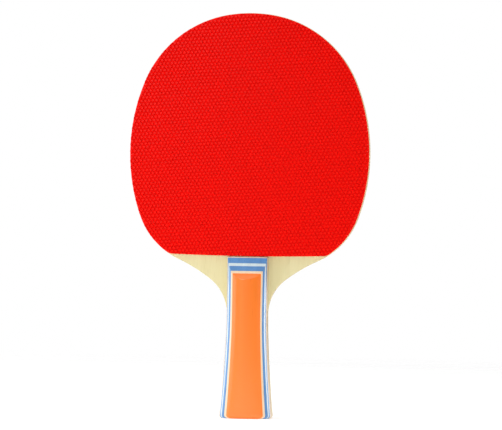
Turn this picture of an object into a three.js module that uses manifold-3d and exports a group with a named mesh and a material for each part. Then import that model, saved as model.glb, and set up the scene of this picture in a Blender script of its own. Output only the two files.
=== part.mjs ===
// Table tennis paddle, pips out, with a flared handle of laminated wood.
// Millimetres, +Z up. The paddle stands on its butt: Z runs from the butt to the tip of the blade,
// X runs across the blade, and the front faces -Y. The origin is the middle of the butt.

import * as THREE from "three";
import { mergeVertices } from "three/addons/utils/BufferGeometryUtils.js";
import Module from "manifold-3d";

const wasm = await Module();
wasm.setup();

// ---------- driving dimensions ----------

const TOTAL_LENGTH = 253.5; // butt to tip
const WAIST_HALF_WIDTH = 12.75; // the handle where it is narrowest
const BUTT_FLARE = 4; // what the handle gains on each side from the waist to the butt
const FLARE_POWER = 1.65; // how late the flare opens
const COLLAR_FLARE = 0.25; // what it gains on each side from the waist to the blade
const HANDLE_TOP = 101;
const BUTT_ROUNDING = 2.25; // radius of the butt's corners
const CROWN_ROUNDING = 1.25; // how far the crown drops at the butt's edge
const HANDLE_SQUARENESS = 2.4; // exponent of the handle's section: 2 is an ellipse

const RUBBER_BOTTOM = 101.45; // lowest point of the rubber, just above the handle
const RUBBER_BOW = 1500; // radius of its lower edge, which is almost straight
const RUBBER_INSET = 0.25; // the rubber is trimmed this far inside the blade's edge
const RUBBER_CORNER = 6; // radius of its lower corners

// The head's outline, from the tip down the right side: arcs that run into one another.
const HEAD_ARCS = [
  { radius: 86, sweep: 8.8 },
  { radius: 68.9, sweep: 58.7 },
  { radius: 118, sweep: 42.3 },
  { radius: 46.7, sweep: 45.7 },
];

// The hollow flank below the head. A tighter arc then brings it in to the handle's waist.
const FLANK = { radius: 104, sweep: 13 };

// The wood of the blade, from its middle out to each face.
const CORE_HALF = 1.5;
const CROSS_PLY = 1;
const FACE_PLY = 0.5;
const SPONGE = 1.5;
const RUBBER = 1.5;

// The veneers of one handle half, from the blade outwards.
const HANDLE_LAYERS = [
  { name: "base", thickness: 3.45, material: "limba" },
  { name: "outer_blue_veneer", thickness: 1, material: "blueVeneer" },
  { name: "white_veneer", thickness: 0.6, material: "whiteVeneer" },
  { name: "inner_blue_veneer", thickness: 1.2, material: "blueVeneer" },
  { name: "cream_veneer", thickness: 0.65, material: "creamVeneer" },
  { name: "orange_cap", thickness: 1.75, material: "orangeWood" },
];

// The hollow that a sanding drum leaves at the top of each handle half.
const SCOOP = { radius: 60, lip: 3.3, slope: 0.25 };

const CHORD_ERROR = 0.04; // how far a flat segment may leave its arc
const AXIS_WIDTH = 1e-6;
const SECTION_SEGMENTS = 20;
const FLARE_STATIONS = 9;
const COLLAR_STATIONS = 3;
const ROUNDING_STATIONS = 5;
const DRUM_SEGMENTS = 192;
const CUT_MARGIN = 5; // how far a cutting block reaches past what it cuts

// ---------- worked out from them ----------

const BLADE_FACE = CORE_HALF + CROSS_PLY + FACE_PLY;
const HANDLE_HALF_DEPTH = HANDLE_LAYERS.reduce((sum, layer) => sum + layer.thickness, 0);
const RIGHT_ANGLE = Math.PI / 2;

const MATERIALS = {
  redRubber: new THREE.MeshStandardMaterial({ color: 0xe8150e, roughness: 0.55 }),
  blackRubber: new THREE.MeshStandardMaterial({ color: 0x17171a, roughness: 0.55 }),
  sponge: new THREE.MeshStandardMaterial({ color: 0xf2dcc0, roughness: 0.95 }),
  faceWood: new THREE.MeshStandardMaterial({ color: 0xe4d6a6, roughness: 0.6 }),
  crossWood: new THREE.MeshStandardMaterial({ color: 0xc9a673, roughness: 0.7 }),
  coreWood: new THREE.MeshStandardMaterial({ color: 0xe6cfa0, roughness: 0.7 }),
  limba: new THREE.MeshStandardMaterial({ color: 0xe3cfb4, roughness: 0.55 }),
  blueVeneer: new THREE.MeshStandardMaterial({ color: 0x5f8fc4, roughness: 0.5 }),
  whiteVeneer: new THREE.MeshStandardMaterial({ color: 0xd9e8ea, roughness: 0.5 }),
  creamVeneer: new THREE.MeshStandardMaterial({ color: 0xf4dcbc, roughness: 0.5 }),
  orangeWood: new THREE.MeshStandardMaterial({ color: 0xfd8534, roughness: 0.45 }),
};

// ---------- the blade's outline ----------

// Each arc with its centre, and the heading at which it starts and ends. A heading is measured
// clockwise from +X, so the walk starts at the tip with 0 and goes down the right side.
function headArcs() {
  const arcs = [];
  let x = 0;
  let z = TOTAL_LENGTH;
  let start = 0;
  for (const { radius, sweep } of HEAD_ARCS) {
    const end = start + THREE.MathUtils.degToRad(sweep);
    const centre = { x: x - radius * Math.sin(start), z: z - radius * Math.cos(start) };
    arcs.push({ centre, radius, start, end });
    x = centre.x + radius * Math.sin(end);
    z = centre.z + radius * Math.cos(end);
    start = end;
  }
  return { arcs, x, z, heading: start };
}

// An arc that turns the other way, from the point and heading where the walk has come to.
function hollowArc({ x, z, heading }, radius, end) {
  const centre = { x: x + radius * Math.sin(heading), z: z + radius * Math.cos(heading) };
  return {
    arc: { centre, radius: -radius, start: heading, end },
    x: centre.x - radius * Math.sin(end),
    z: centre.z - radius * Math.cos(end),
    heading: end,
  };
}

// The neck's radius is the one that ends upright at the handle's waist.
function neckArcs(head) {
  const flank = hollowArc(head, FLANK.radius, head.heading - THREE.MathUtils.degToRad(FLANK.sweep));
  const drop = 1 - Math.cos(flank.heading - RIGHT_ANGLE);
  const neck = hollowArc(flank, (flank.x - WAIST_HALF_WIDTH) / drop, RIGHT_ANGLE);
  return [flank.arc, neck.arc];
}

const HEAD = headArcs();
const NECK = neckArcs(HEAD);
const WAIST = NECK.at(-1).centre.z;

// Points along an arc that is drawn in by inset, after its first point.
function arcPoints({ centre, radius, start, end }, inset) {
  const drawn = radius - inset;
  const step = 2 * Math.acos(1 - CHORD_ERROR / Math.abs(radius));
  const count = Math.ceil(Math.abs(end - start) / step);
  const points = [];
  for (let i = 1; i <= count; i++) {
    const heading = start + ((end - start) * i) / count;
    points.push(
      new THREE.Vector2(centre.x + drawn * Math.sin(heading), centre.z + drawn * Math.cos(heading)),
    );
  }
  return points;
}

// ---------- the handle's outline ----------

function handleHalfWidth(z) {
  if (z < WAIST) return WAIST_HALF_WIDTH + BUTT_FLARE * ((WAIST - z) / WAIST) ** FLARE_POWER;
  return WAIST_HALF_WIDTH + COLLAR_FLARE * ((z - WAIST) / (HANDLE_TOP - WAIST)) ** 2;
}

// Heights from the waist down to the butt, closer together around the butt's rounding.
function buttStations() {
  const stations = [];
  for (let i = 1; i <= FLARE_STATIONS; i++) {
    stations.push({ z: WAIST + ((BUTT_ROUNDING - WAIST) * i) / FLARE_STATIONS, round: 0 });
  }
  for (let i = 1; i <= ROUNDING_STATIONS; i++) {
    const angle = (RIGHT_ANGLE * i) / ROUNDING_STATIONS;
    stations.push({ z: BUTT_ROUNDING * (1 - Math.sin(angle)), round: 1 - Math.cos(angle) });
  }
  return stations;
}

// ---------- flat sheets ----------

// Closes the right half of an outline with its mirror image. Points on the axis are shared.
function mirrored(right) {
  const left = right.filter((p) => p.x > AXIS_WIDTH).map((p) => new THREE.Vector2(-p.x, p.y));
  return new THREE.Shape([...right, ...left.reverse()]);
}

// The blade with its tang, which runs through the handle to the butt.
function bladeShape() {
  const right = [new THREE.Vector2(0, TOTAL_LENGTH)];
  for (const arc of [...HEAD.arcs, ...NECK]) right.push(...arcPoints(arc, 0));
  for (const { z, round } of buttStations()) {
    right.push(new THREE.Vector2(handleHalfWidth(z) - BUTT_ROUNDING * round, z));
  }
  return mirrored(right);
}

// The point to the right of the way from a to b that is as far from each as it is told to be.
function apexOf(a, reachA, b, reachB) {
  const [x, z] = [b.x - a.x, b.z - a.z];
  const gap = Math.hypot(x, z);
  const along = (reachA ** 2 - reachB ** 2 + gap ** 2) / (2 * gap);
  const aside = Math.sqrt(reachA ** 2 - along ** 2);
  return { x: a.x + (x * along + z * aside) / gap, z: a.z + (z * along - x * aside) / gap };
}

function headingOf(from, to) {
  return Math.atan2(to.x - from.x, to.z - from.z);
}

// The rubber follows the head, and rounded corners lead into its bowed edge above the handle.
function rubberShape() {
  const right = [new THREE.Vector2(0, TOTAL_LENGTH - RUBBER_INSET)];
  const lower = HEAD.arcs.at(-1);
  const bow = { x: 0, z: RUBBER_BOTTOM + RUBBER_BOW };
  const reach = lower.radius - RUBBER_INSET - RUBBER_CORNER;
  const centre = apexOf(lower.centre, reach, bow, RUBBER_BOW - RUBBER_CORNER);
  const [start, end] = [headingOf(lower.centre, centre), headingOf(bow, centre)];
  const arcs = [
    ...HEAD.arcs.slice(0, -1),
    { ...lower, end: start },
    { centre, radius: RUBBER_CORNER + RUBBER_INSET, start, end },
    { centre: bow, radius: RUBBER_BOW + RUBBER_INSET, start: end, end: Math.PI },
  ];
  for (const arc of arcs) right.push(...arcPoints(arc, RUBBER_INSET));
  return mirrored(right);
}

// A sheet between two distances from the paddle's middle plane, the lower one first.
function sheet(name, shape, from, to, material) {
  const geometry = new THREE.ExtrudeGeometry(shape, {
    depth: to - from,
    bevelEnabled: false,
  });
  const mesh = new THREE.Mesh(geometry, material);
  mesh.name = name;
  mesh.rotation.x = RIGHT_ANGLE;
  mesh.position.y = -from;
  return mesh;
}

// ---------- solids for cutting ----------

function solid(geometry) {
  const bare = geometry.clone();
  bare.deleteAttribute("normal");
  bare.deleteAttribute("uv");
  const merged = mergeVertices(bare, 1e-4);
  return new wasm.Manifold(
    new wasm.Mesh({
      numProp: 3,
      vertProperties: merged.attributes.position.array,
      triVerts: new Uint32Array(merged.index.array),
    }),
  );
}

function geometryOf(manifold) {
  const mesh = manifold.getMesh();
  const geometry = new THREE.BufferGeometry();
  geometry.setAttribute("position", new THREE.BufferAttribute(mesh.vertProperties, 3));
  geometry.setIndex(new THREE.BufferAttribute(mesh.triVerts, 1));
  geometry.computeVertexNormals();
  return geometry;
}

// ---------- one half of the handle ----------

// Where the half is measured along its length, from the collar down to the butt.
function handleStations() {
  const stations = [];
  for (let i = 0; i <= COLLAR_STATIONS; i++) {
    stations.push({ z: HANDLE_TOP + ((WAIST - HANDLE_TOP) * i) / COLLAR_STATIONS, round: 0 });
  }
  return [...stations, ...buttStations()];
}

// The crowned section across the handle at one station, from its right edge to its left.
function handleSection({ z, round }) {
  const halfWidth = handleHalfWidth(z) - BUTT_ROUNDING * round;
  const depth = HANDLE_HALF_DEPTH - CROWN_ROUNDING * round;
  const points = [];
  for (let i = 0; i <= SECTION_SEGMENTS; i++) {
    const angle = (Math.PI * i) / SECTION_SEGMENTS;
    const across = Math.cos(angle);
    const x = halfWidth * Math.sign(across) * Math.abs(across) ** (2 / HANDLE_SQUARENESS);
    const up = i % SECTION_SEGMENTS ? depth * Math.sin(angle) ** (2 / HANDLE_SQUARENESS) : 0;
    points.push(new THREE.Vector3(x, -BLADE_FACE - up, z));
  }
  return points;
}

// The half's whole body: its sections joined into a skin, with a flat end at each end of it.
function handleBody() {
  const sections = handleStations().map(handleSection);
  const ring = SECTION_SEGMENTS + 1;
  const positions = sections.flat().flatMap((p) => [p.x, p.y, p.z]);
  const index = [];
  for (let s = 0; s + 1 < sections.length; s++) {
    for (let i = 0; i < ring; i++) {
      const j = (i + 1) % ring;
      const [a, b] = [s * ring + i, s * ring + j];
      const [c, d] = [a + ring, b + ring];
      index.push(a, b, d, a, d, c);
    }
  }
  const last = (sections.length - 1) * ring;
  for (let i = 1; i + 1 < ring; i++) {
    index.push(0, i + 1, i);
    index.push(last, last + i, last + i + 1);
  }
  const geometry = new THREE.BufferGeometry();
  geometry.setAttribute("position", new THREE.Float32BufferAttribute(positions, 3));
  geometry.setIndex(index);
  return solid(geometry);
}

// The drum lies across the handle and leaves a lip at the collar that deepens towards the crown.
function scoopDrum() {
  const angle = Math.atan(SCOOP.slope);
  const length = 2 * (WAIST_HALF_WIDTH + COLLAR_FLARE + CUT_MARGIN);
  const drum = new THREE.CylinderGeometry(SCOOP.radius, SCOOP.radius, length, DRUM_SEGMENTS);
  drum.rotateZ(RIGHT_ANGLE);
  drum.translate(
    0,
    -BLADE_FACE - SCOOP.lip - SCOOP.radius * Math.cos(angle),
    HANDLE_TOP + SCOOP.radius * Math.sin(angle),
  );
  return solid(drum);
}

// A block as long and wide as the handle, which holds one layer of it.
function layerBlock(from, thickness) {
  const width = 2 * (WAIST_HALF_WIDTH + BUTT_FLARE + CUT_MARGIN);
  const block = new THREE.BoxGeometry(width, thickness, HANDLE_TOP + 2 * CUT_MARGIN);
  block.translate(0, -BLADE_FACE - from - thickness / 2, HANDLE_TOP / 2);
  return solid(block);
}

function handleHalf(side) {
  const group = new THREE.Group();
  const body = handleBody().subtract(scoopDrum());
  let from = 0;
  for (const { name, thickness, material } of HANDLE_LAYERS) {
    const layer = body.intersect(layerBlock(from, thickness));
    const mesh = new THREE.Mesh(geometryOf(layer), MATERIALS[material]);
    mesh.name = `${side}_handle_${name}`;
    group.add(mesh);
    from += thickness;
  }
  return group;
}

// ---------- one side of the paddle ----------

// Face ply, cross ply, sponge, rubber and handle half, built facing the front.
function paddleSide(side, rubberMaterial) {
  const group = new THREE.Group();
  const blade = bladeShape();
  const rubber = rubberShape();
  const cross = CORE_HALF + CROSS_PLY;
  const sponge = BLADE_FACE + SPONGE;
  group.add(
    sheet(`${side}_cross_ply`, blade, CORE_HALF, cross, MATERIALS.crossWood),
    sheet(`${side}_face_ply`, blade, cross, BLADE_FACE, MATERIALS.faceWood),
    sheet(`${side}_sponge`, rubber, BLADE_FACE, sponge, MATERIALS.sponge),
    sheet(`${side}_pimpled_rubber`, rubber, sponge, sponge + RUBBER, rubberMaterial),
    handleHalf(side),
  );
  return group;
}

// ---------- the paddle ----------

const paddle = new THREE.Group();
const back = paddleSide("back", MATERIALS.blackRubber);
back.rotation.z = Math.PI;
paddle.add(
  sheet("blade_core", bladeShape(), -CORE_HALF, CORE_HALF, MATERIALS.coreWood),
  paddleSide("front", MATERIALS.redRubber),
  back,
);

export default paddle;
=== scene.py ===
import math

import bmesh
import bpy
import numpy as np
from mathutils import Euler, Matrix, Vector


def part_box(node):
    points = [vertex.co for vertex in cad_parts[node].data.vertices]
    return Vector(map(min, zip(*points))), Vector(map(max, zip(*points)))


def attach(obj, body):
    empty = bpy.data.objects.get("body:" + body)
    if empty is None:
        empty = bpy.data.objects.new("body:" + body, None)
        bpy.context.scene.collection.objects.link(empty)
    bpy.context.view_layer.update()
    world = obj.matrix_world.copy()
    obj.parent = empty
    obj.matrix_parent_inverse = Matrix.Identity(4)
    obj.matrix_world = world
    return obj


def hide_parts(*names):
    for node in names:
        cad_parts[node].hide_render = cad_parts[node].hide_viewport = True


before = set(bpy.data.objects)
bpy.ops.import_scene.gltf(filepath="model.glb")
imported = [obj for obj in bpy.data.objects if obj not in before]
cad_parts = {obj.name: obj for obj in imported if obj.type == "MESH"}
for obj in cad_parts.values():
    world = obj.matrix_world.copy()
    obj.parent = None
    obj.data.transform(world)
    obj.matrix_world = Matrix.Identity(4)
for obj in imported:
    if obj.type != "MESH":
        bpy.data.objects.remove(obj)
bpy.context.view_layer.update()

# The paddle stands on its butt: +Z to the tip, +X across the blade, the front faces -Y.
# Shapes are worked out in millimetres, and each mesh is written in metres.
MM = 0.001

# ---------- sizes from the frame, in millimetres ----------


def node_span(node, axis):
    """How far a CAD node reaches along an axis, lowest and highest."""
    low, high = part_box(node)
    return low[axis] / MM, high[axis] / MM


X, Y, Z = range(3)
LENGTH = node_span("blade_core", Z)[1]
HANDLE_TOP = node_span("front_handle_base", Z)[1]
RUBBER_BOTTOM = node_span("front_pimpled_rubber", Z)[0]

# ---------- the outline, as the CAD has it ----------

HEAD_ARCS = ((86, 8.8), (68.9, 58.7), (118, 42.3), (46.7, 45.7))  # radius, sweep in degrees
FLANK_ARC = (104, 13)
WAIST_HALF_WIDTH = 12.75
BUTT_FLARE = 4
FLARE_POWER = 1.65
COLLAR_FLARE = 0.25
BUTT_ROUNDING = 2.25
CROWN_ROUNDING = 1.25
RUBBER_BOW = 1500
RUBBER_INSET = 0.25
RUBBER_CORNER = 6
OUTLINE_STEP = 1.2  # length of one edge along the outline
AXIS_WIDTH = 1e-6  # points nearer the axis than this are not mirrored
TANG_STATIONS = 48
ROUNDING_STATIONS = 8

# ---------- the plies and the sponge ----------

CROSS_RECESS = 0.04  # the cross plies are sanded back by this much
FACE_EDGE = 0.22  # what is taken off the blade's outer edges
EASED_MIDDLE = (0.3, 0.35)  # half way round an eased edge: its share down the side, and inwards
SPONGE_INSET = 0.06
SPONGE_EDGE = 0.08

# ---------- the handle ----------

HANDLE_SQUARENESS = 2.4
SCOOP_RADIUS = 60
SCOOP_LIP = 3.3
SCOOP_SLOPE = 0.25
SCOOP_LENGTH = 16
DRUM_REACH = 25.6  # further below the handle's top than this, the scoop's circle is left out
SANDED_EDGE = 0.12  # how softly the scoop runs into the crown
COLLAR_ROUNDING = 0.35
SECTION_SEGMENTS = 112
COLLAR_STATIONS = 6
SCOOP_STATIONS = 64
UPPER_STATIONS = 14  # from the scoop down to the waist

LAYERS = (
    ("base", "handle_limba"),
    ("outer_blue_veneer", "blue_veneer"),
    ("white_veneer", "white_veneer"),
    ("inner_blue_veneer", "blue_veneer"),
    ("cream_veneer", "cream_veneer"),
    ("orange_cap", "orange_wood"),
)

# ---------- the rubber ----------

PIP_PITCH = 2.38
PIP_ROW_TILT = math.radians(3.9)
PIP_SIDES = 8
SPARE_ROWS = 9  # more rows than columns are laid out, because rows are closer together
RUBBER_BASE = 0.5  # thickness of the sheet that the pimples stand on
RUBBER_EDGE = 0.05
# Radius, and height as a share of the pimple's, from its foot to the rim of its top.
PIP_PROFILE = ((0.92, -0.03), (0.81, 0.88), (0.73, 1.0))
PIP_OVERHANG = 0.35  # a pimple is kept, and trimmed, when its middle is this far past the edge
TRIM_MARGIN = 0.02
BAKE_MARGIN = 0.01  # empty border round each half of the bake's map

# ---------- shading: edges sharper than this, in degrees, stay sharp ----------

FLAT_SHARP = 32
PIMPLE_SHARP = 41
HANDLE_SHARP = 48


# ---------- outline ----------


def walk_outline():
    """The head's arcs and the neck's, each as centre x and z, radius, and first and last heading."""
    head, neck = [], []
    x, z, start = 0.0, LENGTH, 0.0

    def step(arcs, radius, end):
        cx = x - radius * math.sin(start)
        cz = z - radius * math.cos(start)
        arcs.append((cx, cz, radius, start, end))
        return cx + radius * math.sin(end), cz + radius * math.cos(end), end

    for radius, sweep in HEAD_ARCS:
        x, z, start = step(head, radius, start + math.radians(sweep))
    x, z, start = step(neck, -FLANK_ARC[0], start - math.radians(FLANK_ARC[1]))
    radius = (x - WAIST_HALF_WIDTH) / (1 - math.cos(start - math.pi / 2))
    step(neck, -radius, math.pi / 2)
    return head, neck


HEAD, NECK = walk_outline()
WAIST = NECK[-1][1]


def arc_points(arc, inset):
    """Points along an arc that is drawn in by inset, without its first."""
    cx, cz, radius, start, end = arc
    count = math.ceil(abs(radius * (end - start)) / OUTLINE_STEP)
    heading = start + (end - start) * np.arange(1, count + 1) / count
    drawn = radius - inset
    return [(cx + drawn * math.sin(h), cz + drawn * math.cos(h)) for h in heading]


def handle_half_width(z):
    """Half the handle's width at height z: narrowest at the waist, flared to the butt."""
    if z < WAIST:
        return WAIST_HALF_WIDTH + BUTT_FLARE * ((WAIST - z) / WAIST) ** FLARE_POWER
    return WAIST_HALF_WIDTH + COLLAR_FLARE * ((z - WAIST) / (HANDLE_TOP - WAIST)) ** 2


def butt_inset(z):
    """How far the rounded edge of the butt is drawn in at height z, as a share of its radius."""
    if z >= BUTT_ROUNDING:
        return 0.0
    return 1 - math.sqrt(max(0.0, 1 - (1 - z / BUTT_ROUNDING) ** 2))


def butt_heights():
    """Heights from the waist down to the butt, closer together round its edge."""
    flare = np.linspace(WAIST, BUTT_ROUNDING, TANG_STATIONS)[1:]
    angle = np.linspace(0, math.pi / 2, ROUNDING_STATIONS + 1)[1:]
    return [*flare, *(BUTT_ROUNDING * (1 - np.sin(angle)))]


def closed_loop(right):
    """The right half of an outline and its mirror image, as an array of x and z."""
    left = [(-x, z) for x, z in reversed(right) if x > AXIS_WIDTH]
    return np.array([*right, *left])


def blade_outline():
    """The head, the neck and the tang, down to the butt."""
    right = [(0.0, LENGTH)]
    for arc in (*HEAD, *NECK):
        right += arc_points(arc, 0.0)
    for z in butt_heights():
        right.append((handle_half_width(z) - BUTT_ROUNDING * butt_inset(z), z))
    return closed_loop(right)


def apex(a, reach_a, b, reach_b):
    """The point to the right of the way from a to b that is as far from each as it is told to be."""
    x, z = b[0] - a[0], b[1] - a[1]
    gap = math.hypot(x, z)
    along = (reach_a**2 - reach_b**2 + gap**2) / (2 * gap)
    aside = math.sqrt(reach_a**2 - along**2)
    return a[0] + (x * along + z * aside) / gap, a[1] + (z * along - x * aside) / gap


def rubber_outline():
    """The head's outline, whose rounded lower corners lead into a slightly bowed edge."""
    *first, (cx, cz, radius, start, _) = HEAD
    bow = (0.0, RUBBER_BOTTOM + RUBBER_BOW)
    reach = radius - RUBBER_INSET - RUBBER_CORNER
    x, z = apex((cx, cz), reach, bow, RUBBER_BOW - RUBBER_CORNER)
    turn = math.atan2(x - cx, z - cz)
    end = math.atan2(x - bow[0], z - bow[1])
    arcs = (
        *first,
        (cx, cz, radius, start, turn),
        (x, z, RUBBER_CORNER + RUBBER_INSET, turn, end),
        (*bow, RUBBER_BOW + RUBBER_INSET, end, math.pi),
    )
    right = [(0.0, LENGTH - RUBBER_INSET)]
    for arc in arcs:
        right += arc_points(arc, RUBBER_INSET)
    return closed_loop(right)


def drawn_in(outline, inset):
    """The outline moved inwards by inset."""
    along = np.roll(outline, -1, axis=0) - np.roll(outline, 1, axis=0)
    along /= np.linalg.norm(along, axis=1)[:, None]
    inward = np.stack([along[:, 1], -along[:, 0]], axis=1)
    return outline + inward * inset


# ---------- meshes ----------


def new_piece(name, vertices, faces, material, sharp_angle=FLAT_SHARP):
    """A mesh piece from vertices in millimetres."""
    mesh = bpy.data.meshes.new(name)
    mesh.from_pydata(np.asarray(vertices) * MM, [], faces)
    return finish_piece(name, mesh, material, sharp_angle)


def finish_piece(name, mesh, material, sharp_angle):
    """The mesh as a piece in the scene, shaded smooth up to the given angle."""
    mesh.validate()
    mesh.polygons.foreach_set("use_smooth", [True] * len(mesh.polygons))
    mesh.set_sharp_from_angle(angle=math.radians(sharp_angle))
    mesh.materials.append(material)
    piece = bpy.data.objects.new(name, mesh)
    bpy.context.scene.collection.objects.link(piece)
    return piece


def place(piece, node):
    """Fixes a piece to the body, in the place of its CAD node."""
    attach(piece, "root")
    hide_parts(node)


def slab(outline, levels):
    """A closed sheet: its outline at each level, given as y and inset, from the front to the back."""
    count = len(outline)
    vertices = []
    for y, inset in levels:
        ring = drawn_in(outline, inset)
        vertices += [(x, y, z) for x, z in ring]
    faces = []
    for level in range(len(levels) - 1):
        a = level * count
        b = a + count
        for i in range(count):
            j = (i + 1) % count
            faces.append((a + i, a + j, b + j, b + i))
    faces.append(tuple(range(count - 1, -1, -1)))
    last = (len(levels) - 1) * count
    faces.append(tuple(range(last, last + count)))
    return vertices, faces


def ply_levels(y0, y1, inner, outer):
    """A ply's levels, with a hair taken off its inner edge and its outer one."""
    front, back = (outer, inner) if y0 < 0 else (inner, outer)
    down, inwards = EASED_MIDDLE
    return [
        (y0, front),
        (y0 + front * down, front * inwards),
        (y0 + front, 0.0),
        (y1 - back, 0.0),
        (y1 - back * down, back * inwards),
        (y1, back),
    ]


# ---------- the blade's plies ----------


def make_plies():
    outline = blade_outline()
    recessed = drawn_in(outline, CROSS_RECESS)
    # CAD node, finish, outline, and what is taken off the inner and the outer edge
    rows = (
        ("front_face_ply", "face_wood", outline, 0.03, FACE_EDGE),
        ("front_cross_ply", "cross_wood", recessed, 0.04, 0.04),
        ("blade_core", "core_wood", outline, 0.05, 0.05),
        ("back_cross_ply", "cross_wood", recessed, 0.04, 0.04),
        ("back_face_ply", "face_wood", outline, 0.03, FACE_EDGE),
    )
    for node, slot, shape, inner, outer in rows:
        y0, y1 = node_span(node, Y)
        vertices, faces = slab(shape, ply_levels(y0, y1, inner, outer))
        piece = new_piece(node + "_wood", vertices, faces, MATERIALS[slot])
        place(piece, node)


# ---------- sponge and rubber ----------


def make_sponge(node):
    y0, y1 = node_span(node, Y)
    outline = drawn_in(rubber_outline(), SPONGE_INSET)
    vertices, faces = slab(outline, ply_levels(y0, y1, SPONGE_EDGE, SPONGE_EDGE))
    piece = new_piece(node + "_foam", vertices, faces, MATERIALS["sponge"])
    place(piece, node)


def edge_distance(points, outline):
    """Each point's distance inside the outline, below zero outside it, and the way inwards there."""
    ends = np.roll(outline, -1, axis=0)
    along = ends - outline
    squared = (along**2).sum(1)
    offset = points[:, None, :] - outline[None]
    share = np.clip((offset * along).sum(2) / squared, 0, 1)
    gap = offset - share[:, :, None] * along
    nearest = (gap**2).sum(2).argmin(1)
    inward = np.stack([along[:, 1], -along[:, 0]], axis=1) / np.sqrt(squared)[:, None]
    inward = inward[nearest]
    gap = gap[np.arange(len(points)), nearest]
    return (gap * inward).sum(1), inward


def pip_centres(outline):
    """A hexagonal lattice with its rows a little tilted, over the whole sheet."""
    low, high = outline.min(0), outline.max(0)
    middle = (low + high) / 2
    reach = int(np.linalg.norm(high - low) / PIP_PITCH / 2) + 2
    row_gap = PIP_PITCH * math.sqrt(3) / 2
    columns = np.arange(-reach, reach + 1)
    rows = np.arange(-reach - SPARE_ROWS, reach + SPARE_ROWS + 1)
    i, j = np.meshgrid(columns, rows)
    across = (i + 0.5 * (j % 2)).ravel() * PIP_PITCH
    up = j.ravel() * row_gap
    c, s = math.cos(PIP_ROW_TILT), math.sin(PIP_ROW_TILT)
    centres = np.stack([c * across - s * up, s * across + c * up], axis=1) + middle
    near = ((centres > low - PIP_OVERHANG) & (centres < high + PIP_OVERHANG)).all(1)
    centres = centres[near]
    inside, _ = edge_distance(centres, outline)
    return centres[inside > -PIP_OVERHANG]


def pip_mesh(outline, foot, top):
    """Every pimple from the y of its foot to the y of its top, trimmed where it meets the edge."""
    centres = pip_centres(outline)
    angle = np.arange(PIP_SIDES) * 2 * math.pi / PIP_SIDES
    circle = np.stack([np.cos(angle), np.sin(angle)], axis=1)
    rings = np.stack([radius * circle for radius, _ in PIP_PROFILE])
    flat = centres[:, None, None, :] + rings[None]
    flat = flat.reshape(-1, 2)
    per_pip = len(PIP_PROFILE) * PIP_SIDES
    owner = np.repeat(np.arange(len(centres)), per_pip)
    depth, _ = edge_distance(centres, outline)
    near = np.flatnonzero(depth[owner] < PIP_PITCH)
    inside, inward = edge_distance(flat[near], outline)
    short = np.maximum(TRIM_MARGIN - inside, 0)
    flat[near] += inward * short[:, None]
    heights = np.array([foot + (top - foot) * share for _, share in PIP_PROFILE])
    y = np.tile(np.repeat(heights, PIP_SIDES), len(centres))
    vertices = np.stack([flat[:, 0], y, flat[:, 1]], axis=1)

    pattern = []
    for ring in range(len(PIP_PROFILE) - 1):
        for k in range(PIP_SIDES):
            a = ring * PIP_SIDES + k
            b = ring * PIP_SIDES + (k + 1) % PIP_SIDES
            pattern.append((a, b, b + PIP_SIDES, a + PIP_SIDES))
    pattern.append(tuple(range(per_pip - PIP_SIDES, per_pip)))
    pattern.append(tuple(range(PIP_SIDES - 1, -1, -1)))
    if top > foot:  # the back's pimples point the other way
        pattern = [face[::-1] for face in pattern]
    faces = []
    for pip in range(len(centres)):
        base = pip * per_pip
        faces += [tuple(base + v for v in face) for face in pattern]
    return vertices, faces


def bake_map(mesh, base_vertices):
    """A flat UV map for the bake: the sheet on the left half, the pimples on the right."""
    co = np.zeros(len(mesh.vertices) * 3, np.float32)
    mesh.vertices.foreach_get("co", co)
    co = co.reshape(-1, 3)
    low, high = co.min(0), co.max(0)
    u = (co[:, X] - low[X]) / (high[X] - low[X])
    v = (co[:, Z] - low[Z]) / (high[Z] - low[Z])
    on_pimple = np.arange(len(co)) >= base_vertices
    u = BAKE_MARGIN + (0.5 - 2 * BAKE_MARGIN) * u + 0.5 * on_pimple
    v = BAKE_MARGIN + (1 - 2 * BAKE_MARGIN) * v
    loops = np.zeros(len(mesh.loops), np.int32)
    mesh.loops.foreach_get("vertex_index", loops)
    layer = mesh.uv_layers.new(name="OFBake")
    layer.data.foreach_set("uv", np.stack([u[loops], v[loops]], axis=1).ravel())


def make_rubber(node, slot):
    """A moulded sheet of rubber, its pimples outwards."""
    y0, y1 = node_span(node, Y)
    outline = rubber_outline()
    if y0 < 0:
        top, back, foot = y0, y1, y1 - RUBBER_BASE
    else:
        top, back, foot = y1, y0, y0 + RUBBER_BASE
    levels = ply_levels(min(back, foot), max(back, foot), RUBBER_EDGE, RUBBER_EDGE)
    base_vertices, base_faces = slab(outline, levels)
    pips, pip_faces = pip_mesh(outline, foot, top)
    shift = len(base_vertices)
    vertices = np.concatenate([np.array(base_vertices), pips])
    faces = base_faces + [tuple(v + shift for v in face) for face in pip_faces]
    piece = new_piece(node + "_sheet", vertices, faces, MATERIALS[slot], PIMPLE_SHARP)
    bake_map(piece.data, shift)
    place(piece, node)


# ---------- the handle ----------


def soft_min(a, b, width):
    """The lesser of a and b, rounded off where they are closer together than width."""
    share = np.maximum(width - np.abs(a - b), 0) / width
    return np.minimum(a, b) - share * share * width / 4


def scoop_height(z):
    """Height of the scooped surface above the blade's face."""
    angle = math.atan(SCOOP_SLOPE)
    centre_z = HANDLE_TOP + SCOOP_RADIUS * math.sin(angle)
    centre_up = SCOOP_LIP + SCOOP_RADIUS * math.cos(angle)
    reach = np.clip(SCOOP_RADIUS**2 - (z - centre_z) ** 2, 0, None)
    low_side = centre_up - np.sqrt(reach)
    return np.where(z > HANDLE_TOP - DRUM_REACH, low_side, 2 * SCOOP_RADIUS)


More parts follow.
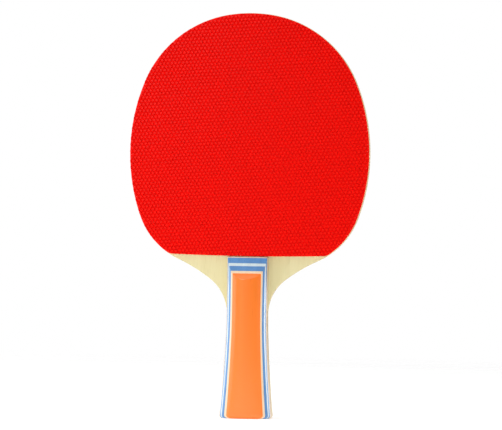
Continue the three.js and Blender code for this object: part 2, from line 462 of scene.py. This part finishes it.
def collar_inset(z):
    """How far the collar's rounded end is drawn in at height z."""
    left = HANDLE_TOP - z
    if left >= COLLAR_ROUNDING:
        return 0.0
    return COLLAR_ROUNDING - math.sqrt(max(0.0, COLLAR_ROUNDING**2 - (COLLAR_ROUNDING - left) ** 2))


def handle_heights():
    """Heights from the handle's top down to the butt, close together in the scoop."""
    angle = np.linspace(0, math.pi / 2, COLLAR_STATIONS)
    collar = HANDLE_TOP - COLLAR_ROUNDING * (1 - np.cos(angle))
    scoop = np.linspace(collar[-1], HANDLE_TOP - SCOOP_LENGTH, SCOOP_STATIONS)[1:]
    upper = np.linspace(scoop[-1], WAIST, UPPER_STATIONS)[1:]
    return [*collar, *scoop, *upper, *butt_heights()]


def handle_body(face, depth):
    """One half of the handle as a bmesh, on the front, from the blade's face out to its depth."""
    angle = np.linspace(0, math.pi, SECTION_SEGMENTS + 1)
    power = 2 / HANDLE_SQUARENESS
    across = np.sign(np.cos(angle)) * np.abs(np.cos(angle)) ** power
    up = np.clip(np.sin(angle), 0, 1) ** power
    up[[0, -1]] = 0
    heights = handle_heights()
    bm = bmesh.new()
    rings = []
    for z in heights:
        inset = butt_inset(z)
        half = handle_half_width(z) - BUTT_ROUNDING * inset - collar_inset(z)
        tall = depth - CROWN_ROUNDING * inset
        rise = soft_min(tall * up, scoop_height(z) - collar_inset(z), SANDED_EDGE)
        rise = np.maximum(rise, 0)
        rise[[0, -1]] = 0
        ring = [
            bm.verts.new((half * a * MM, (-face - r) * MM, z * MM))
            for a, r in zip(across, rise)
        ]
        rings.append(ring)
    for upper, lower in zip(rings, rings[1:]):
        for i in range(len(upper)):
            j = (i + 1) % len(upper)
            bm.faces.new((upper[i], upper[j], lower[j], lower[i]))
    bm.faces.new(rings[0][::-1])
    bm.faces.new(rings[-1])
    bmesh.ops.recalc_face_normals(bm, faces=bm.faces)
    return bm


def cut(bm, y, keep_front):
    """Cuts a closed bmesh at a plane of constant y, and closes it there."""
    direction = (0, 1, 0) if keep_front else (0, -1, 0)
    geometry = [*bm.verts, *bm.edges, *bm.faces]
    found = bmesh.ops.bisect_plane(
        bm, geom=geometry, plane_co=(0, y * MM, 0), plane_no=direction, clear_outer=True
    )
    rim = [e for e in found["geom_cut"] if isinstance(e, bmesh.types.BMEdge)]
    if rim:
        bmesh.ops.edgenet_fill(bm, edges=rim)


def handle_layer(body, y0, y1, first, last):
    """The slice of the body between y0 and y1, as a new mesh."""
    bm = body.copy()
    if not last:
        cut(bm, y0, keep_front=False)
    if not first:
        cut(bm, y1, keep_front=True)
    bmesh.ops.recalc_face_normals(bm, faces=bm.faces)
    mesh = bpy.data.meshes.new("layer")
    bm.to_mesh(mesh)
    bm.free()
    return mesh


def make_handle_half(side):
    """Six slices of one rounded and scooped body; the back's are the front's turned round."""
    face = node_span("front_face_ply", Y)[0]
    deepest = node_span("front_handle_orange_cap", Y)[0]
    body = handle_body(-face, face - deepest)
    for index, (layer, slot) in enumerate(LAYERS):
        y0, y1 = node_span("front_handle_" + layer, Y)
        mesh = handle_layer(body, y0, y1, index == 0, index == len(LAYERS) - 1)
        if side == "back":
            mesh.transform(Euler((0, 0, math.pi)).to_matrix().to_4x4())
        node = side + "_handle_" + layer
        piece = finish_piece(node + "_wood", mesh, MATERIALS[slot], HANDLE_SHARP)
        place(piece, node)
    body.free()


# ---------- materials ----------

FIBRE_STRETCH = 0.035  # how slowly a wood changes along its grain, against across it
STREAK_STRETCH = 0.012


class Nodes:
    """A material's node tree, with short calls for the nodes that the finishes share."""

    def __init__(self, name):
        self.material = bpy.data.materials.new(name)
        self.material.use_nodes = True
        self.tree = self.material.node_tree
        self.shader = self.tree.nodes["Principled BSDF"]
        self.coords = self.add("ShaderNodeTexCoord").outputs["Object"]  # in metres

    def add(self, kind, **settings):
        node = self.tree.nodes.new(kind)
        for key, value in settings.items():
            setattr(node, key, value)
        return node

    def link(self, source, target):
        self.tree.links.new(source, target)

    def set(self, **sockets):
        for key, value in sockets.items():
            self.shader.inputs[key.replace("_", " ")].default_value = value

    def stretched(self, scale):
        """Object coordinates, in metres, times a scale for each axis."""
        node = self.add("ShaderNodeMapping")
        node.inputs["Scale"].default_value = scale
        self.link(self.coords, node.inputs["Vector"])
        return node.outputs["Vector"]

    def noise(self, vector, scale, detail=2.0, roughness=0.5, distortion=0.0):
        node = self.add("ShaderNodeTexNoise")
        self.link(vector, node.inputs["Vector"])
        node.inputs["Scale"].default_value = scale
        node.inputs["Detail"].default_value = detail
        node.inputs["Roughness"].default_value = roughness
        node.inputs["Distortion"].default_value = distortion
        return node.outputs["Fac"]

    def cells(self, vector, scale):
        node = self.add("ShaderNodeTexVoronoi", feature="F1")
        self.link(vector, node.inputs["Vector"])
        node.inputs["Scale"].default_value = scale
        return node.outputs["Distance"]

    def ranged(self, value, low, high, to_low=0.0, to_high=1.0):
        node = self.add("ShaderNodeMapRange")
        self.link(value, node.inputs["Value"])
        for key, number in zip(
            ("From Min", "From Max", "To Min", "To Max"), (low, high, to_low, to_high)
        ):
            node.inputs[key].default_value = number
        return node.outputs["Result"]

    def maths(self, operation, a, b):
        node = self.add("ShaderNodeMath", operation=operation)
        for socket, value in zip(node.inputs, (a, b)):
            if isinstance(value, (int, float)):
                socket.default_value = value
            else:
                self.link(value, socket)
        return node.outputs["Value"]

    def mix(self, factor, a, b):
        """A colour between a and b, each a colour or a socket."""
        node = self.add("ShaderNodeMix", data_type="RGBA")
        self.link(factor, node.inputs["Factor"])
        for socket, value in ((node.inputs[6], a), (node.inputs[7], b)):
            if isinstance(value, tuple):
                socket.default_value = value
            else:
                self.link(value, socket)
        return node.outputs[2]

    def bump(self, height, strength, distance):
        node = self.add("ShaderNodeBump")
        self.link(height, node.inputs["Height"])
        node.inputs["Strength"].default_value = strength
        node.inputs["Distance"].default_value = distance
        return node.outputs["Normal"]

    def finish(self, colour, roughness, normal):
        self.link(colour, self.shader.inputs["Base Color"])
        self.link(roughness, self.shader.inputs["Roughness"])
        self.link(normal, self.shader.inputs["Normal"])
        return self.material


def srgb(red, green, blue):
    """A colour given as 0 to 255 on a screen, as the linear colour a shader takes."""
    values = []
    for channel in (red, green, blue):
        c = channel / 255
        values.append(c / 12.92 if c <= 0.04045 else ((c + 0.055) / 1.055) ** 2.4)
    return (*values, 1.0)


def rubber(name, top, foot, wear_and_painted_light, face, tip):
    """Moulded rubber: smoother on the pimples' tops and duller where it has been played on; its
    colour runs from the feet to the tops as painted light, paler on the tops as a painted highlight
    and deeper at the feet as painted shade.
    """
    n = Nodes(name)
    depth = n.add("ShaderNodeSeparateXYZ")
    n.link(n.coords, depth.inputs["Vector"])
    height = n.ranged(depth.outputs["Y"], face * MM, tip * MM)
    # painted light: the pimples' tops are painted paler, a painted highlight, and their feet deeper,
    # painted shade between the pimples
    colour = n.mix(height, foot, top)
    patches = n.noise(n.coords, 28, detail=3)
    colour = n.mix(n.ranged(patches, 0.35, 0.75, 0.0, 0.35), colour, wear_and_painted_light)
    speck = n.noise(n.coords, 2600, detail=2)
    smooth = n.ranged(patches, 0.3, 0.7, 0.24, 0.32)
    roughness = n.maths("ADD", smooth, n.ranged(height, 0.0, 1.0, 0.45, 0.0))
    normal = n.bump(speck, 0.2, 0.00003)
    n.set(Specular_IOR_Level=0.125)
    return n.finish(colour, roughness, normal)


def foam():
    """Open-celled sponge with slightly uneven colour."""
    n = Nodes("sponge_foam")
    pores = n.cells(n.coords, 3800)
    colour = n.mix(n.ranged(pores, 0.0, 0.6), srgb(206, 176, 140), srgb(240, 222, 196))
    colour = n.mix(n.ranged(n.noise(n.coords, 60), 0.3, 0.7, 0.0, 0.25), colour, srgb(228, 204, 172))
    roughness = n.ranged(n.noise(n.coords, 900), 0.3, 0.7, 0.85, 1.0)
    return n.finish(colour, roughness, n.bump(pores, 0.5, 0.0001))


def wood(name, pale, dark, pore, along=Z, contrast=1.0, wear_and_painted_light=None):
    """Lacquered wood with its grain along one axis, which may be painted paler towards the butt as
    painted light.
    """
    n = Nodes(name)
    stretch = [1.0, 1.0, 1.0]
    stretch[along] = FIBRE_STRETCH
    grain = n.stretched(stretch)
    stretch[along] = STREAK_STRETCH
    long_grain = n.stretched(stretch)
    streaks = n.noise(long_grain, 170, detail=3, distortion=0.4)
    fibres = n.noise(grain, 1500, detail=4, roughness=0.6)
    pores = n.noise(grain, 2400, detail=1)
    tone = n.ranged(streaks, 0.32, 0.68, 0.0, 0.75 * contrast)
    colour = n.mix(tone, pale, dark)
    colour = n.mix(n.ranged(fibres, 0.35, 0.75, 0.0, 0.4 * contrast), colour, dark)
    specks = n.ranged(pores, 0.66, 0.74, 0.0, 0.55 * contrast)
    colour = n.mix(specks, colour, pore)
    if wear_and_painted_light:
        # painted light: the colour is painted paler from the handle's top down to the butt
        split = n.add("ShaderNodeSeparateXYZ")
        n.link(n.coords, split.inputs["Vector"])
        share = n.ranged(split.outputs["Z"], HANDLE_TOP * MM, 0.0, 0.0, 0.6)
        colour = n.mix(share, colour, wear_and_painted_light)
    roughness = n.ranged(fibres, 0.3, 0.7, 0.35, 0.5)
    sunk = n.maths("SUBTRACT", fibres, n.maths("MULTIPLY", specks, 0.8))
    n.set(Coat_Weight=0.7, Coat_Roughness=0.2, Coat_IOR=1.7, Specular_IOR_Level=0.25)
    return n.finish(colour, roughness, n.bump(sunk, 0.22, 0.00008))


def make_materials():
    rubber_span = node_span("front_pimpled_rubber", Y)
    tip = rubber_span[0]
    face = rubber_span[1] - RUBBER_BASE
    return {
        # painted light: each rubber's first colour is the pimples' tops, painted paler as a painted
        # highlight, and its second their feet, painted deeper as painted shade
        "red_rubber": rubber(
            "red_rubber", srgb(243, 16, 0), srgb(248, 7, 0), srgb(243, 13, 0), face, tip
        ),
        "black_rubber": rubber(
            "black_rubber", srgb(34, 34, 36), srgb(18, 18, 19), srgb(26, 26, 28), -face, -tip
        ),
        "sponge": foam(),
        "face_wood": wood(
            "face_wood", srgb(230, 220, 167), srgb(219, 207, 149), srgb(190, 169, 112),
            contrast=0.75,
        ),
        "cross_wood": wood(
            "cross_wood", srgb(205, 170, 120), srgb(176, 138, 90), srgb(120, 86, 52), along=X
        ),
        "core_wood": wood(
            "core_wood", srgb(232, 210, 166), srgb(212, 184, 136), srgb(170, 136, 90)
        ),
        "handle_limba": wood(
            "handle_limba", srgb(232, 214, 190), srgb(214, 190, 160), srgb(160, 124, 88)
        ),
        "blue_veneer": wood(
            "blue_veneer", srgb(98, 150, 206), srgb(80, 130, 186), srgb(50, 88, 136)
        ),
        "white_veneer": wood(
            "white_veneer", srgb(222, 236, 238), srgb(196, 214, 220), srgb(150, 170, 180)
        ),
        "cream_veneer": wood(
            "cream_veneer", srgb(250, 226, 192), srgb(238, 206, 164), srgb(200, 156, 110)
        ),
        "orange_wood": wood(
            "orange_wood", srgb(255, 126, 17), srgb(255, 117, 10), srgb(214, 88, 10),
            # painted light: the orange is painted paler towards the butt
            contrast=0.7, wear_and_painted_light=srgb(255, 137, 36),
        ),
    }


# ---------- camera, floor and light ----------

VIEW_AZIMUTH = math.radians(5)
VIEW_ROLL = math.radians(0.93)
VIEW_DISTANCE = 2.4
VIEW_WIDTH = 0.3136  # how much of the object's plane the frame takes in, across
VIEW_TARGET = Vector((0.0017, -0.0059, 0.1272))
SENSOR = 36


def make_camera():
    data = bpy.data.cameras.new("camera")
    data.sensor_width = SENSOR
    data.lens = SENSOR * VIEW_DISTANCE / VIEW_WIDTH
    data.clip_end = 50
    camera = bpy.data.objects.new("camera", data)
    bpy.context.scene.collection.objects.link(camera)
    outward = Vector((math.sin(VIEW_AZIMUTH), -math.cos(VIEW_AZIMUTH), 0))
    camera.location = VIEW_TARGET + outward * VIEW_DISTANCE
    camera.rotation_mode = "QUATERNION"
    look = (-outward).to_track_quat("-Z", "Y")
    camera.rotation_quaternion = look @ Euler((0, 0, VIEW_ROLL)).to_quaternion()
    bpy.context.scene.camera = camera


FLOOR_RADIUS = 1.1
FLOOR_FADE = (0.35, 1.05)  # distances at which it starts to fade, and has gone
FLOOR_GLOW = 0.22  # lifts the floor to the white of the surroundings
FILL_LIGHT = 0.155


def make_floor():
    """A pale floor that fades out, far from the object, into the white surroundings."""
    bm = bmesh.new()
    bmesh.ops.create_circle(bm, cap_ends=True, radius=FLOOR_RADIUS, segments=96)
    mesh = bpy.data.meshes.new("floor")
    bm.to_mesh(mesh)
    bm.free()
    n = Nodes("floor")
    tint = n.noise(n.coords, 3)
    colour = n.mix(tint, srgb(250, 250, 249), srgb(246, 246, 246))
    n.link(colour, n.shader.inputs["Base Color"])
    distance = n.add("ShaderNodeVectorMath", operation="LENGTH")
    n.link(n.coords, distance.inputs[0])
    fade = n.ranged(distance.outputs["Value"], *FLOOR_FADE, 1.0, 0.0)
    n.link(fade, n.shader.inputs["Alpha"])
    n.set(Roughness=0.9, Specular_IOR_Level=0.1)
    n.set(Emission_Color=(1, 1, 1, 1), Emission_Strength=FLOOR_GLOW)
    mesh.materials.append(n.material)
    floor = bpy.data.objects.new("floor", mesh)
    bpy.context.scene.collection.objects.link(floor)


def make_world():
    """White all round, and dimmer as a light than as a background."""
    world = bpy.data.worlds.new("studio")
    world.use_nodes = True
    tree = world.node_tree
    tree.nodes.clear()
    fill = tree.nodes.new("ShaderNodeBackground")
    fill.inputs["Strength"].default_value = FILL_LIGHT
    white = tree.nodes.new("ShaderNodeBackground")
    white.inputs["Strength"].default_value = 1.0
    for node in (fill, white):
        node.inputs["Color"].default_value = (1, 1, 1, 1)
    path = tree.nodes.new("ShaderNodeLightPath")
    mix = tree.nodes.new("ShaderNodeMixShader")
    out = tree.nodes.new("ShaderNodeOutputWorld")
    tree.links.new(path.outputs["Is Camera Ray"], mix.inputs["Fac"])
    tree.links.new(fill.outputs["Background"], mix.inputs[1])
    tree.links.new(white.outputs["Background"], mix.inputs[2])
    tree.links.new(mix.outputs["Shader"], out.inputs["Surface"])
    bpy.context.scene.world = world


LIGHT_AIM = Vector((0, 0, 0.13))


def softbox(name, position, width, height, power):
    """An area light, in metres and watts, that faces the paddle's middle."""
    data = bpy.data.lights.new(name, "AREA")
    data.shape = "RECTANGLE"
    data.size = width
    data.size_y = height
    data.energy = power
    light = bpy.data.objects.new(name, data)
    light.location = position
    aim = LIGHT_AIM - light.location
    light.rotation_mode = "QUATERNION"
    light.rotation_quaternion = aim.to_track_quat("-Z", "Y")
    bpy.context.scene.collection.objects.link(light)


def make_lights():
    softbox("key", (-0.42, -1.5, 0.45), 0.4, 0.4, 4.3)
    softbox("left_wall", (-1.1, -0.15, 0.45), 2.3, 1.4, 18)
    softbox("overhead", (0.0, -0.45, 1.9), 2.0, 2.0, 16)
    softbox("right_fill", (1.3, -1.1, 0.6), 0.9, 1.3, 1.7)
    softbox("right_rim", (1.2, 0.35, 0.5), 0.9, 1.3, 14)
    softbox("left_rim", (-0.9, 0.75, 0.5), 0.9, 1.3, 4)


# ---------- the scene ----------

make_camera()
make_floor()
make_world()
make_lights()
bpy.context.scene.view_settings.view_transform = "Standard"

MATERIALS = make_materials()
make_plies()
for side, slot in (("front", "red_rubber"), ("back", "black_rubber")):
    make_sponge(side + "_sponge")
    make_rubber(side + "_pimpled_rubber", slot)
    make_handle_half(side)
